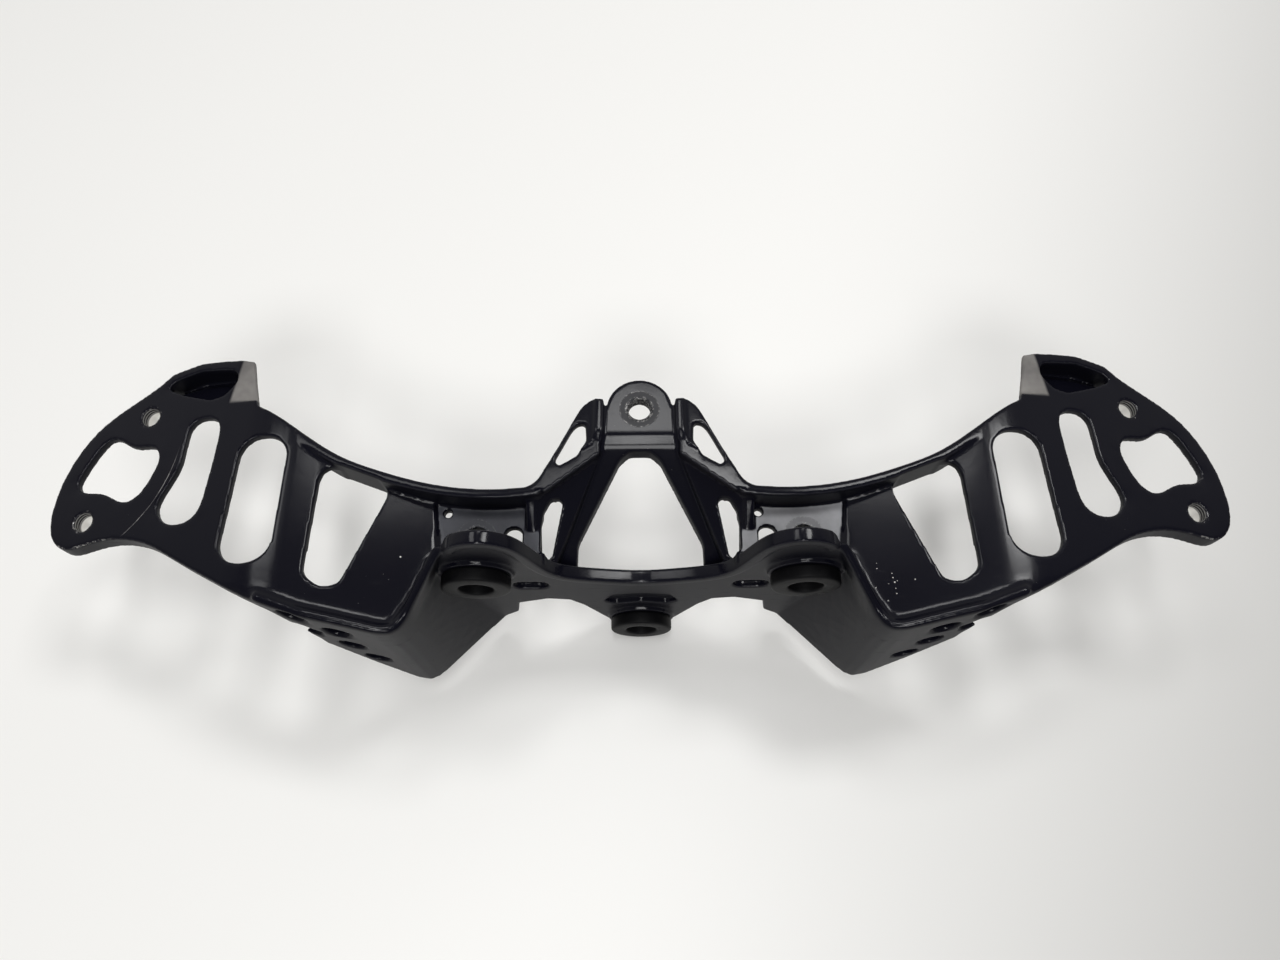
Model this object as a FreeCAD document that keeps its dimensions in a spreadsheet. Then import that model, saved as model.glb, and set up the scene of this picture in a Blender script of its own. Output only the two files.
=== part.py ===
import FreeCAD, Part
import math
import os

V = FreeCAD.Vector
doc = FreeCAD.newDocument("fairing_stay")

# Driving sizes in millimetres and degrees. X runs across the stay, Y away from the
# headlamp side, Z up along the fixing bolts. Zero is midway between the two pad bolts,
# on the face their heads bear on.
SIZES = [
    ("bolt_half", 66.0),
    ("bolt_hole_d", 9.0),
    ("wall", 4.0),
    ("pad_t", 4.5),
    ("pad_inner", 44.0),
    ("pad_step", 3.0),
    ("boss_y", 50.0),
    ("boss_z", 15.0),
    ("boss_d", 27.0),
    ("boss_t", 6.0),
    ("leg_drop", 36.5),
    ("fold_r", 12.0),
    ("rib_w", 3.6),
    ("rib_deep", 10.0),
    ("wing_rise_deg", 10.0),
    ("wing_fall_deg", 11.3),
    ("bend_x", 150.0),
    ("bend_r", 60.0),
    ("flange_top", 12.0),
    ("lip_deep", 9.0),
    ("lip_w", 3.6),
    ("bead_h", 2.5),
    ("face_y", -8.4),
    ("rim_w", 4.5),
    ("rim_proud", 1.0),
    ("knee_deep", 77.0),
    ("lamp_z", -5.0),
    ("lamp_low_z", -74.5),
    ("seat_hole_d", 20.0),
    ("seat_ring_d", 30.0),
    ("seat_ring_t", 2.0),
    ("recess_floor_t", 1.4),
    ("grommet_od", 28.0),
    ("grommet_bore", 14.0),
    ("grommet_front_t", 5.8),
    ("grommet_lip_d", 24.0),
    ("grommet_lip_t", 2.0),
    ("grommet_clear", 0.4),
    ("mirror_hole_d", 8.0),
    ("mirror_boss_d", 17.0),
    ("mirror_boss_deep", 11.0),
    ("hook_deep", 20.0),
    ("hook_w", 4.0),
    ("hook_lean_deg", 17.0),
    ("hook_inset", 0.2),
    ("hook_bevel_far", 1.5),
    ("hook_bevel_near", 3.0),
    ("pocket_deep", 13.0),
    ("pocket_floor_t", 3.0),
    ("flank_hole_d", 11.0),
    ("dowel_d", 3.5),
    ("dowel_left_out", 12.2),
    ("dowel_left_back", 10.8),
    ("dowel_right_in", 18.0),
    ("dowel_right_back", 10.4),
    ("drill_reach", 40.0),
    ("pad_slot_w", 7.0),
]
sheet = doc.addObject("Spreadsheet::Sheet", "dims")
for row, (alias, value) in enumerate(SIZES, start=1):
    sheet.set("A%d" % row, alias)
    sheet.set("B%d" % row, str(value))
    sheet.setAlias("B%d" % row, alias)
doc.recompute()


def size(alias):
    return float(sheet.get(alias))


# Points of the outlines are given for a bolt line 66 mm off centre. What lies outside the
# bridge follows the bolt line when that moves.
DRAWN_HALF = 66.0
BRIDGE_HALF = 20.0

wall = size("wall")
half = size("bolt_half")
drill_reach = size("drill_reach")
rise = math.tan(math.radians(size("wing_rise_deg")))
fall = math.tan(math.radians(size("wing_fall_deg")))
bend_x = half + (size("bend_x") - DRAWN_HALF)
face_y = size("face_y")
front_y = face_y - wall

TURN_XZ = FreeCAD.Rotation(V(1, 0, 0), 90)
TURN_YZ = FreeCAD.Rotation(V(1, 1, 1), 120)
LEVEL = FreeCAD.Rotation()


def across(x):
    share = (abs(x) - BRIDGE_HALF) / (size("pad_inner") - BRIDGE_HALF)
    share = min(1.0, max(0.0, share))
    return x + math.copysign(share, x) * (half - DRAWN_HALF)


def moved(points):
    return [(across(x), y) for x, y in points]


def line(a, b):
    return Part.LineSegment(V(a[0], a[1], 0), V(b[0], b[1], 0))


def spline(points):
    curve = Part.BSplineCurve()
    curve.interpolate([V(x, y, 0) for x, y in points])
    return curve


def unit(a, b):
    run = math.hypot(b[0] - a[0], b[1] - a[1])
    return ((b[0] - a[0]) / run, (b[1] - a[1]) / run)


def rounded(points, radius):
    """Closed outline of straight sides with every corner rounded."""
    count = len(points)
    starts = []
    ends = []
    mids = []
    for i in range(count):
        prev_p, here, next_p = points[i - 1], points[i], points[(i + 1) % count]
        back = unit(here, prev_p)
        fore = unit(here, next_p)
        angle = math.acos(max(-1.0, min(1.0, back[0] * fore[0] + back[1] * fore[1])))
        shortest = min(math.dist(here, prev_p), math.dist(here, next_p))
        cut = min(radius / math.tan(angle / 2), 0.46 * shortest)
        arc_r = cut * math.tan(angle / 2)
        along = unit((0, 0), (back[0] + fore[0], back[1] + fore[1]))
        reach = arc_r / math.sin(angle / 2) - arc_r
        starts.append((here[0] + back[0] * cut, here[1] + back[1] * cut))
        ends.append((here[0] + fore[0] * cut, here[1] + fore[1] * cut))
        mids.append((here[0] + along[0] * reach, here[1] + along[1] * reach))
    shapes = []
    for i in range(count):
        shapes.append(Part.Arc(V(*starts[i], 0), V(*mids[i], 0), V(*ends[i], 0)))
        shapes.append(line(ends[i], starts[(i + 1) % count]))
    return shapes


def closed(points):
    return [line(points[i - 1], points[i]) for i in range(len(points))]


def beside(points, gap):
    """The same run of points, moved sideways to its left by the gap."""
    shifted = []
    last = len(points) - 1
    for i, here in enumerate(points):
        a = points[max(0, i - 1)]
        b = points[min(last, i + 1)]
        run = unit(a, b)
        shifted.append((here[0] - run[1] * gap, here[1] + run[0] * gap))
    return shifted


def drawn(name, shapes, turn=LEVEL, base=(0, 0, 0)):
    sketch = doc.addObject("Sketcher::SketchObject", name + "_sketch")
    sketch.addGeometry(shapes, False)
    sketch.Placement = FreeCAD.Placement(V(*base), turn)
    return sketch


def raised(name, sketch, fwd, rev="0"):
    solid = doc.addObject("Part::Extrusion", name)
    solid.Base = sketch
    solid.DirMode = "Normal"
    solid.Solid = True
    solid.setExpression("LengthFwd", fwd)
    solid.setExpression("LengthRev", rev)
    return solid


def both(name, a, b):
    solid = doc.addObject("Part::Common", name)
    solid.Base = a
    solid.Tool = b
    solid.Refine = False
    return solid


def less(name, base, tool):
    solid = doc.addObject("Part::Cut", name)
    solid.Base = base
    solid.Tool = tool
    solid.Refine = False
    return solid


def joined(name, members):
    solid = doc.addObject("Part::MultiFuse", name)
    solid.Shapes = members
    solid.Refine = False
    return solid


def round_bar(name, diameter, length, base, axis):
    bar = doc.addObject("Part::Cylinder", name)
    bar.setExpression("Radius", "(%s) / 2" % diameter)
    bar.setExpression("Height", length)
    bar.Placement = FreeCAD.Placement(V(*base), FreeCAD.Rotation(V(0, 0, 1), V(*axis)))
    return bar


def skinned(name, stations):
    """Straight-sided wall through upright four-cornered stations."""
    wires = [Part.makePolygon([V(*p) for p in corners] + [V(*corners[0])]) for corners in stations]
    wall_shape = doc.addObject("Part::Feature", name)
    wall_shape.Shape = Part.makeLoft(wires, True, True)
    return wall_shape


REACH = "400"

# Height of the wing's upper face: it climbs outward to the bend and falls to the tip.
step_x = half + 22.0
step_z = size("pad_step")
bend_z = step_z + rise * (bend_x - step_x)


def wing_z(x):
    if x < bend_x:
        return step_z + rise * (x - step_x)
    return bend_z - fall * (x - bend_x)


def wing_layer(name, depth, lead):
    """Bent layer under the wing's upper face, running the whole depth of the stay."""
    start_x = step_x - lead
    end_x = across(262.0)
    turn = math.radians(size("wing_rise_deg") + size("wing_fall_deg")) / 2
    tangent = size("bend_r") * math.tan(turn)
    reach = size("bend_r") / math.cos(turn) - size("bend_r")
    shapes = []
    sides = []
    for drop in (0.0, depth):
        start = (start_x, wing_z(start_x) - drop)
        bend_in = (bend_x - tangent, wing_z(bend_x - tangent) - drop)
        middle = (bend_x, bend_z - reach - drop)
        bend_out = (bend_x + tangent, wing_z(bend_x + tangent) - drop)
        end = (end_x, wing_z(end_x) - drop)
        shapes.append(line(start, bend_in))
        shapes.append(Part.Arc(V(*bend_in, 0), V(*middle, 0), V(*bend_out, 0)))
        shapes.append(line(bend_out, end))
        sides.append((start, end))
    shapes.append(line(sides[0][0], sides[1][0]))
    shapes.append(line(sides[0][1], sides[1][1]))
    return raised(name, drawn(name, shapes, TURN_XZ, (0, 120, 0)), REACH)


# Plan of one wing, seen from above, with the far edge, the hook, the tip and the near edge.
FAR_EDGE = moved([(88, 20.3), (104.5, 25.2), (121.3, 31.9), (134.4, 40.1), (145.6, 47.9), (157.7, 54.9)])
HOOK_EDGE = moved([(157.7, 54.9), (160.3, 65.5), (162.7, 76.5), (168.3, 77.4), (186, 78), (199.5, 74.2),
                   (205.0, 68.8)])
TIP_EDGE = moved([(205.0, 68.8), (218.6, 59.6), (229.4, 50.8), (236.8, 39.9), (241.4, 28), (243.2, 14.8),
                  (241.6, 4.5), (236.8, -1.4), (228.8, -2.4)])
NEAR_EDGE = moved([(228.8, -2.4), (219.9, -0.1), (212, 0.6), (203.7, -0.5), (195.2, -3.3), (188.3, -7.1),
                   (175.2, -14.6), (163.1, -21.1), (153, -26.4), (140.5, -31.4), (116.3, -36.7),
                   (101.5, -39.6)])
KNEE_EDGE = moved([(101.5, -39.6), (94.6, -37.6), (80.0, -12.0), (84.0, 19.4), (88, 20.3)])

plan_shapes = [spline(FAR_EDGE)]
plan_shapes += [line(HOOK_EDGE[i], HOOK_EDGE[i + 1]) for i in range(len(HOOK_EDGE) - 1)]
plan_shapes += [spline(TIP_EDGE), spline(NEAR_EDGE)]
plan_shapes += [line(KNEE_EDGE[i], KNEE_EDGE[i + 1]) for i in range(len(KNEE_EDGE) - 1)]
plan = raised("wing_plan", drawn("wing_plan", plan_shapes, LEVEL, (0, 0, -60)), REACH)
wing_sheet = both("wing_sheet", wing_layer("wing_layer", wall, step_x - across(80.0)), plan)

# Lip that hangs under the tip and the near edge.
lip_run = TIP_EDGE[:-1] + NEAR_EDGE
lip_inside = beside(lip_run, -size("lip_w"))
lip_shapes = [spline(TIP_EDGE), spline(NEAR_EDGE), line(NEAR_EDGE[-1], lip_inside[-1])]
lip_shapes += [spline(lip_inside[::-1]), line(lip_inside[0], TIP_EDGE[0])]
lip_plan = raised("lip_plan", drawn("lip_plan", lip_shapes, LEVEL, (0, 0, -60)), REACH)
lip_layer = wing_layer("lip_layer", size("lip_deep"), 6.0)
lip = both("lip", lip_layer, lip_plan)

# Standing flange on the far edge of the pad and wing.
FLANGE_RUN = moved([(40.5, 18.4), (55.9, 16.9), (71.9, 17.5)]) + FAR_EDGE
flange_inside = beside(FLANGE_RUN, -wall)
flange_shapes = [spline(FLANGE_RUN), line(FLANGE_RUN[-1], flange_inside[-1])]
flange_shapes += [spline(flange_inside[::-1]), line(flange_inside[0], FLANGE_RUN[0])]
flange_plan = drawn("flange", flange_shapes)
flange_plan.setExpression("Placement.Base.z", "-dims.pad_t")
flange = raised("flange", flange_plan, "dims.flange_top + dims.pad_t")

# Hook: an open strap that hangs off the far outer corner of the wing. Its end lug leans outward
# as it goes down, and the lean runs out along the strap.
hook_outside = beside(HOOK_EDGE, -size("hook_inset"))
hook_inside = beside(HOOK_EDGE, -size("hook_w"))
hook_root = wall * 0.5
hook_lean = math.tan(math.radians(size("hook_lean_deg"))) * size("hook_deep")
hook_stations = []
for i, (edge, inner) in enumerate(zip(hook_outside, hook_inside)):
    lean = hook_lean * (1.0 - max(0, i - 2) / (len(HOOK_EDGE) - 3))
    corners = [(x, y, wing_z(x) - hook_root) for x, y in (edge, inner)]
    corners += [(x + lean, y, z + hook_root - size("hook_deep")) for x, y, z in corners[::-1]]
    hook_stations.append(corners)
hook = skinned("hook", hook_stations)


def bevel_station(plane_x, edge_x, y, drop):
    """Section of the tool that slopes the lug's inner face down from the wing's plane."""
    top = wing_z(plane_x)
    return [(plane_x, y, top), (plane_x, y, top + wall), (edge_x, y, top + wall),
            (edge_x, y, wing_z(edge_x) - drop)]


hook_bevel = skinned("hook_bevel", [
    bevel_station(across(167.6), across(160.0), 80.0, size("hook_bevel_far")),
    bevel_station(across(171.2), across(155.0), 57.5, size("hook_bevel_near")),
])

# Pad between the bridge and the wing, with its sloping step up to the wing.
pad_near = face_y - wall * 0.5
pad_shapes = closed(moved([(38.0, pad_near), (83.5, pad_near), (88.0, 19.5), (71.9, 17.0), (55.9, 16.6),
                           (40.0, 18.0)]))
pad_plan = drawn("pad", pad_shapes)
pad_plan.setExpression("Placement.Base.z", "-dims.pad_t")
pad = raised("pad", pad_plan, "dims.pad_t")
step_shapes = closed([(across(83.0), -0.5), (across(92.0), -0.5), (across(92.0), wing_z(across(92.0))),
                      (across(86.5), wing_z(across(86.5)))])
step = raised("pad_rise", drawn("pad_rise", step_shapes, TURN_XZ, (0, 20.0, 0)), "20 - dims.face_y")

# Knee and flank: one wall that leaves the lamp plate, turns the corner and runs out under the wing.
knee_z = -size("knee_deep")
bead = size("bead_h")


def station(top, middle, bottom, inward, z_top, z_bottom):
    """Section of the wall in two stacked bands that meet at the height of the upper lamp seats."""
    levels = [(top, z_top), (middle, size("lamp_z")), (bottom, z_bottom)]
    outer = [(across(x), y, z) for (x, y), z in levels]
    inner = [(x + inward[0] * wall, y + inward[1] * wall, z) for x, y, z in outer]
    return [[outer[i], outer[i + 1], inner[i + 1], inner[i]] for i in (0, 1)]


def rim_z(x):
    return wing_z(across(x)) + bead


lamp_top = size("lamp_z") + 27.0
root_y = front_y + wall * 0.4
SKIRT = [
    station((74.6, root_y), (81.6, root_y), (62.4, root_y), (0.95, 0.3), lamp_top - 0.6, knee_z),
    station((90.0, -34.0), (89.6, -34.6), (88.5, -36.5), (0.85, 0.53), rim_z(93.0), knee_z),
    station((92.8, -38.3), (92.8, -38.6), (92.6, -40.0), (0.72, 0.69), rim_z(94.0), knee_z),
    station((96.3, -40.4), (96.4, -40.6), (96.6, -41.8), (0.3, 0.95), rim_z(96.0), knee_z),
    station((101.5, -40.4), (101.6, -40.6), (102.0, -41.4), (-0.1, 0.99), rim_z(101.5), knee_z + 4.0),
    station((116.5, -37.4), (116.5, -37.6), (116.5, -38.4), (-0.2, 0.98), rim_z(116.5), knee_z + 24.0),
    station((131.0, -34.6), (131.0, -34.9), (131.0, -35.2), (-0.2, 0.98), rim_z(131.0), knee_z + 47.0),
]
skirt = [skinned("skirt_upper", [upper for upper, lower in SKIRT]),
         skinned("skirt_lower", [lower for upper, lower in SKIRT])]
runout = skinned("flank_end", [
    [(across(130.5), -34.7, rim_z(131.0) - 0.3), (across(129.7), -30.9, rim_z(131.0) - 0.3),
     (across(129.7), -31.2, knee_z + 46.5), (across(130.5), -35.0, knee_z + 46.5)],
    [(across(148.0), -28.8, rim_z(143.0)), (across(146.8), -25.0, rim_z(143.0)),
     (across(146.8), -25.0, rim_z(143.0) - 8.0), (across(148.0), -28.8, rim_z(143.0) - 8.0)],
])

# Side webs between the bridge and the flange.
web_top = size("boss_z") + 1.0
WEB_EDGE = moved([(17.8, 54.8), (20.5, 53.8), (23.6, 51.2), (26.0, 47.4), (34.5, 31.6), (40.4, 21.6),
                  (43.0, 17.0)])
web_shapes = [spline(WEB_EDGE)]
web_low = moved([(43.0, 17.0), (38.0, 15.0), (16.0, 30.0), (16.0, 53.0), (17.8, 54.8)])
web_shapes += [line(web_low[i], web_low[i + 1]) for i in range(len(web_low) - 1)]
web_plan = raised("web_plan", drawn("web_plan", web_shapes, LEVEL, (0, 0, -60)), REACH)
web_fall = (web_top - size("flange_top")) / (across(43.0) - 17.0)
web_line = [(12.0, web_top + 5.0 * web_fall), (across(48.0), web_top - (across(48.0) - 17.0) * web_fall)]
web_band = web_line + [(x, z - wall) for x, z in web_line[::-1]]
web_slab = raised("web_slab", drawn("web_slab", closed(web_band), TURN_XZ, (0, 120, 0)), REACH)
web = both("web", web_slab, web_plan)

# Lower web: the flat triangle between the leg's rib, the flange and the lamp plate.
knot_a = V(17.0, 33.0, web_top - 2.0)
knot_b = V(across(43.5), 17.0, size("flange_top") - 2.0)
knot_c = V(across(38.5), face_y - 1.0, size("boss_z") - size("leg_drop") + 10.0)
web_normal = (knot_b - knot_a).cross(knot_c - knot_a)
if web_normal.z < 0:
    web_normal = web_normal * -1
low_web_plan = raised("low_web_plan", drawn("low_web_plan", closed([
    (knot_a.x - 2.0, knot_a.y), (knot_a.x + 3.0, knot_a.y + 2.0), (knot_b.x + 1.5, knot_b.y + 1.0),
    (knot_b.x + 1.5, face_y - 1.0), (knot_c.x - 3.0, face_y - 1.0)]), LEVEL, (0, 0, -60)), REACH)
low_web_slab = doc.addObject("Part::Box", "low_web_slab")
low_web_slab.setExpression("Height", "dims.wall")
low_web_slab.Length = 160
low_web_slab.Width = 160
slab_turn = FreeCAD.Rotation(V(0, 0, 1), web_normal)
low_web_slab.Placement = FreeCAD.Placement(knot_a - slab_turn.multVec(V(80, 80, wall)), slab_turn)
low_web = both("low_web", low_web_slab, low_web_plan)

# Upright wall between the pad and the lower web.
cheek_low = min(0.0, knot_c.z) - wall - 2.0
cheek_shapes = closed([(face_y - 1.0, cheek_low), (17.0, -size("pad_t")), (17.0, size("flange_top") - 2.0),
                       (2.0, 0.0), (face_y - 1.0, 0.0)])
cheek_sketch = drawn("cheek", cheek_shapes, TURN_YZ, (across(size("pad_inner")) - 2.0, 0, 0))
cheek = raised("cheek", cheek_sketch, "dims.wall")

# Bend of the bridge: where the boss plate turns down into the legs, and how far it turns.
boss_y = size("boss_y")
boss_z = size("boss_z")
fold_y = boss_y - 14.0
foot_y = face_y - 1.0
leg_turn = math.atan2(size("leg_drop"), fold_y - foot_y)

# Rib along the bridge's side and down the leg.
rib_half = size("rib_w") / 2
rib_foot = size("boss_z") - size("leg_drop") + 3.5


def rib_station(x, y, z):
    deep = size("rib_deep")
    return [(x - rib_half, y, z), (x + rib_half, y, z), (x + rib_half, y, z - deep),
            (x - rib_half, y, z - deep)]


rib_proud = 1.8
rib = skinned("rib", [
    rib_station(16.4, boss_y + 4.4, boss_z + rib_proud),
    rib_station(16.6, fold_y + 4.0, boss_z + rib_proud),
    rib_station(17.2, fold_y, boss_z + rib_proud - 0.8),
    rib_station(18.8, fold_y - 5.0, boss_z + rib_proud - 5.0 * math.tan(leg_turn)),
    rib_station(across(37.5), foot_y, rib_foot),
])

# Windows of one half. Each is cut straight through along the bolts.
SLOT_INNER = moved([(129.4, 22.0), (127.5, 27.4), (121.5, 28.0), (103.4, 21.0), (102.0, 17.0), (117.5, -21.0),
                    (124.5, -22.0), (131.4, -17.0)])
SLOT_MIDDLE = moved([(162.0, 40.5), (142.6, 40.5), (144.2, -13.3), (166.0, -13.3)])
SLOT_OUTER = moved([(187.0, 51.5), (172.4, 51.0), (173.7, 31.9), (175.9, 10.1), (181.0, 4.4), (191.0, 5.0),
                    (196.6, 12.4), (188.0, 30.0)])
MIRROR_WINDOW = moved([(233.4, 22.8), (234.6, 27.3), (225.5, 45.0), (219.5, 46.8), (214.9, 42.4),
                       (209.2, 39.9), (202.6, 41.4), (198.0, 38.0), (198.6, 31.3), (202.5, 22.1),
                       (206.3, 16.6), (213.0, 16.0), (217.2, 19.6), (223.2, 21.9), (229.3, 21.8)])
HOOK_POCKET = moved([(169.0, 72.8), (186.0, 74.0), (198.0, 70.4), (201.4, 67.0), (192.3, 63.2), (179.5, 59.5),
                     (173.6, 61.0), (168.4, 67.0)])
WEB_UPPER = [(22.0, 43.6), (21.6, 36.0), (25.4, 29.7), (32.8, 25.8), (34.4, 28.5), (27.6, 41.2), (24.8, 44.0)]
WEB_LOWER = [(31.0, 15.2), (36.0, 14.6), (39.2, 9.9), (40.2, 5.6), (40.4, -5.4), (38.6, -6.6), (36.4, -5.0)]

windows = rounded(SLOT_INNER, 6.0) + rounded(SLOT_MIDDLE, 11.0) + rounded(SLOT_OUTER, 4.5)
windows += rounded(MIRROR_WINDOW, 4.0) + rounded(HOOK_POCKET, 3.0)
windows += rounded(moved(WEB_UPPER), 2.2) + rounded(moved(WEB_LOWER), 1.8)
slot_half = size("pad_slot_w") / 2
slot_x = half - 14.8
windows += rounded([(slot_x - slot_half, -6.0), (slot_x + slot_half, -6.0), (slot_x + slot_half, 4.6),
                    (slot_x - slot_half, 4.6)], slot_half * 0.98)
window_tool = raised("windows", drawn("windows", windows, LEVEL, (0, 0, -60)), REACH)

# Screw bosses for the mirror, square to the outer half of the wing.
fall_rad = math.radians(size("wing_fall_deg"))
tip_axis = (math.sin(fall_rad), 0.0, math.cos(fall_rad))
MIRROR_HOLES = moved([(206.2, 54.4), (227.5, 9.1)])
tip_bosses = []
tip_holes = []
for index, (x, y) in enumerate(MIRROR_HOLES):
    z = wing_z(x)
    deep = size("mirror_boss_deep")
    foot = (x - tip_axis[0] * deep, y, z - tip_axis[2] * deep)
    tip_bosses.append(round_bar("mirror_boss_%d" % index, "dims.mirror_boss_d", "dims.mirror_boss_deep",
                                foot, tip_axis))
    under = (foot[0] - tip_axis[0] * 5, y, foot[2] - tip_axis[2] * 5)
    tip_holes.append(round_bar("mirror_hole_%d" % index, "dims.mirror_hole_d", "dims.mirror_boss_deep + 10",
                               under, tip_axis))

# Round holes that lighten the flank.
FLANK_HOLES = [(134.0, 5.0), (133.0, -13.0), (120.0, -6.0), (119.0, -24.5), (113.0, -42.0)]
flank_holes = []
for index, (x, z) in enumerate(FLANK_HOLES):
    flank_holes.append(round_bar("flank_hole_%d" % index, "dims.flank_hole_d", "dims.drill_reach",
                                 (across(x) + 3.0, -20.0, z), (-0.2, -0.98, 0.0)))

half_body = joined("half_body", [wing_sheet, lip, flange, hook, pad, step, runout, web, low_web, cheek, rib]
                   + skirt + tip_bosses)
half_tools = joined("half_tools", [window_tool, hook_bevel] + tip_holes + flank_holes)
half_cut = less("half_cut", half_body, half_tools)


def floor_station(x, near_y, far_y):
    """Section of the hook's floor, which falls from the wing's own thickness to the foot of the far wall."""
    top = wing_z(across(x))
    near_z = top - wall * 0.4
    far_z = top - size("pocket_deep")
    thick = size("pocket_floor_t")
    return [(across(x), near_y, near_z), (across(x), far_y, far_z), (across(x), far_y, far_z - thick),
            (across(x), near_y, near_z - thick)]


pocket_floor = skinned("pocket_floor", [
    floor_station(171.0, 63.5, 75.0), floor_station(177.0, 58.0, 75.6), floor_station(188.0, 60.0, 75.2),
    floor_station(198.0, 63.6, 72.0)])
right_half = joined("right_half", [half_cut, pocket_floor])
left_half = doc.addObject("Part::Mirroring", "left_half")
left_half.Source = right_half
left_half.Normal = V(1, 0, 0)

# Bridge: the boss plate, its round bend and the two legs, opened between the legs.
boss_t = size("boss_t")
boss_back = boss_y + 16.0
bend_ease = math.tan(leg_turn / 2)


def bent(sink):
    """Boss plate, bend and leg seen from the side, sunk below their top face."""
    fold = (fold_y + sink * bend_ease, boss_z - sink)
    radius = size("fold_r") - sink
    start = (fold[0] + radius * bend_ease, fold[1])
    middle = (start[0] - radius * math.sin(leg_turn / 2), start[1] - radius * (1 - math.cos(leg_turn / 2)))
    end = (start[0] - radius * math.sin(leg_turn), start[1] - radius * (1 - math.cos(leg_turn)))
    foot = (foot_y, fold[1] - (fold[0] - foot_y) * math.tan(leg_turn))
    arc = Part.Arc(V(*start, 0), V(*middle, 0), V(*end, 0))
    return [line((boss_back, fold[1]), start), arc, line(end, foot)], foot


top_run, top_foot = bent(0.0)
low_run, low_foot = bent(boss_t)
band_shapes = top_run + low_run + [line(top_foot, low_foot)]
band_shapes.append(line((boss_back, boss_z), (boss_back, boss_z - boss_t)))
bridge_band = drawn("bridge_band", band_shapes, TURN_YZ, (-100, 0, 0))
bridge_slab = raised("bridge_slab", bridge_band, "200")
boss_half = size("boss_d") / 2
foot_x = across(39.0)
bridge_side = [(boss_half, boss_y), (16.0, boss_y - 3.0), (17.0, fold_y), (19.0, fold_y - 4.5),
               (foot_x, foot_y)]
bridge_shapes = [Part.Arc(V(boss_half, boss_y, 0), V(0, boss_y + boss_half, 0), V(-boss_half, boss_y, 0))]
for sign in (1, -1):
    run = [(sign * x, y) for x, y in bridge_side]
    bridge_shapes += [line(run[i], run[i + 1]) for i in range(len(run) - 1)]
bridge_shapes.append(line((-foot_x, foot_y), (foot_x, foot_y)))
bridge_plan = raised("bridge_plan", drawn("bridge_plan", bridge_shapes, LEVEL, (0, 0, -60)), REACH)
bridge_full = both("bridge_full", bridge_slab, bridge_plan)
ARCH_HALF = [(4.0, 32.4), (8.2, 29.6), (26.0, 2.0), (27.0, foot_y - 0.5)]
ARCH = ARCH_HALF + [(-x, y) for x, y in ARCH_HALF[::-1]]
arch_tool = raised("arch", drawn("arch", rounded(ARCH, 6.0), LEVEL, (0, 0, -60)), REACH)
bridge = less("bridge", bridge_full, arch_tool)

# Lamp plate: the upright front plate that carries the three grommets.
lamp_z = size("lamp_z")
low_z = size("lamp_low_z")
RIM_HALF = [(0.0, -20.0), (17.0, -17.0), (33.0, -10.0), (40.0, 2.5), (45.0, 17.5), (51.5, 28.0), (60.0, 32.0),
            (68.5, 30.0), (75.0, lamp_top)]
RIM_RIGHT = moved(RIM_HALF)
RIM_RUN = [(-x, z) for x, z in RIM_RIGHT[:0:-1]] + RIM_RIGHT
LOW_HALF = moved([(75.0, lamp_top), (82.5, lamp_z), (76.0, -33.0), (64.0, -size("knee_deep")), (56.5, -68.0),
                  (54.5, -53.5), (41.0, -47.0), (32.0, -49.0), (26.0, -58.0)])
TAB_R = 17.5
tab_side = (TAB_R * math.cos(math.radians(20.0)), low_z - TAB_R * math.sin(math.radians(20.0)))
plate_shapes = [spline(RIM_RUN)]
for sign in (1, -1):
    run = [(sign * x, z) for x, z in LOW_HALF] + [(sign * tab_side[0], tab_side[1])]
    plate_shapes += [line(run[i], run[i + 1]) for i in range(len(run) - 1)]
plate_shapes.append(Part.Arc(V(*tab_side, 0), V(0, low_z - TAB_R, 0), V(-tab_side[0], tab_side[1], 0)))
plate_sketch = drawn("lamp_plate", plate_shapes, TURN_XZ)
plate_sketch.setExpression("Placement.Base.y", "dims.face_y")
lamp_plate = raised("lamp_plate", plate_sketch, "dims.wall")
rim_inside = beside(RIM_RUN, -size("rim_w"))
rim_shapes = [spline(RIM_RUN), line(RIM_RUN[-1], rim_inside[-1]), spline(rim_inside[::-1]),
              line(rim_inside[0], RIM_RUN[0])]
rim_sketch = drawn("rim", rim_shapes, TURN_XZ)
rim_sketch.setExpression("Placement.Base.y", "dims.face_y + dims.rim_proud")
rim = raised("rim", rim_sketch, "dims.wall + 2 * dims.rim_proud")

SEATS = [("left", -half, lamp_z), ("right", half, lamp_z), ("centre", 0.0, low_z)]
seat_rings = []
seat_holes = []
for side, x, z in SEATS:
    seat_rings.append(round_bar("seat_ring_" + side, "dims.seat_ring_d", "dims.wall + dims.seat_ring_t",
                                (x, face_y, z), (0, -1, 0)))
    seat_holes.append(round_bar("seat_hole_" + side, "dims.seat_hole_d", "dims.wall + dims.seat_ring_t + 2",
                                (x, face_y + 1, z), (0, -1, 0)))
    lip_room = size("grommet_lip_t") + size("grommet_clear")
    seat_holes.append(round_bar("lip_room_" + side, "dims.grommet_lip_d + 2 * dims.grommet_clear",
                                "dims.grommet_lip_t + dims.grommet_clear",
                                (x, face_y + lip_room, z), (0, -1, 0)))
plate_windows = []
for sign in (1, -1):
    slot = [(sign * across(39.0), -31.0), (sign * across(39.0), -21.0), (sign * across(54.0), -21.0),
            (sign * across(54.0), -31.0)]
    plate_windows += rounded(slot, 4.9)
arch_z = low_z + size("seat_ring_d") / 2
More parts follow.
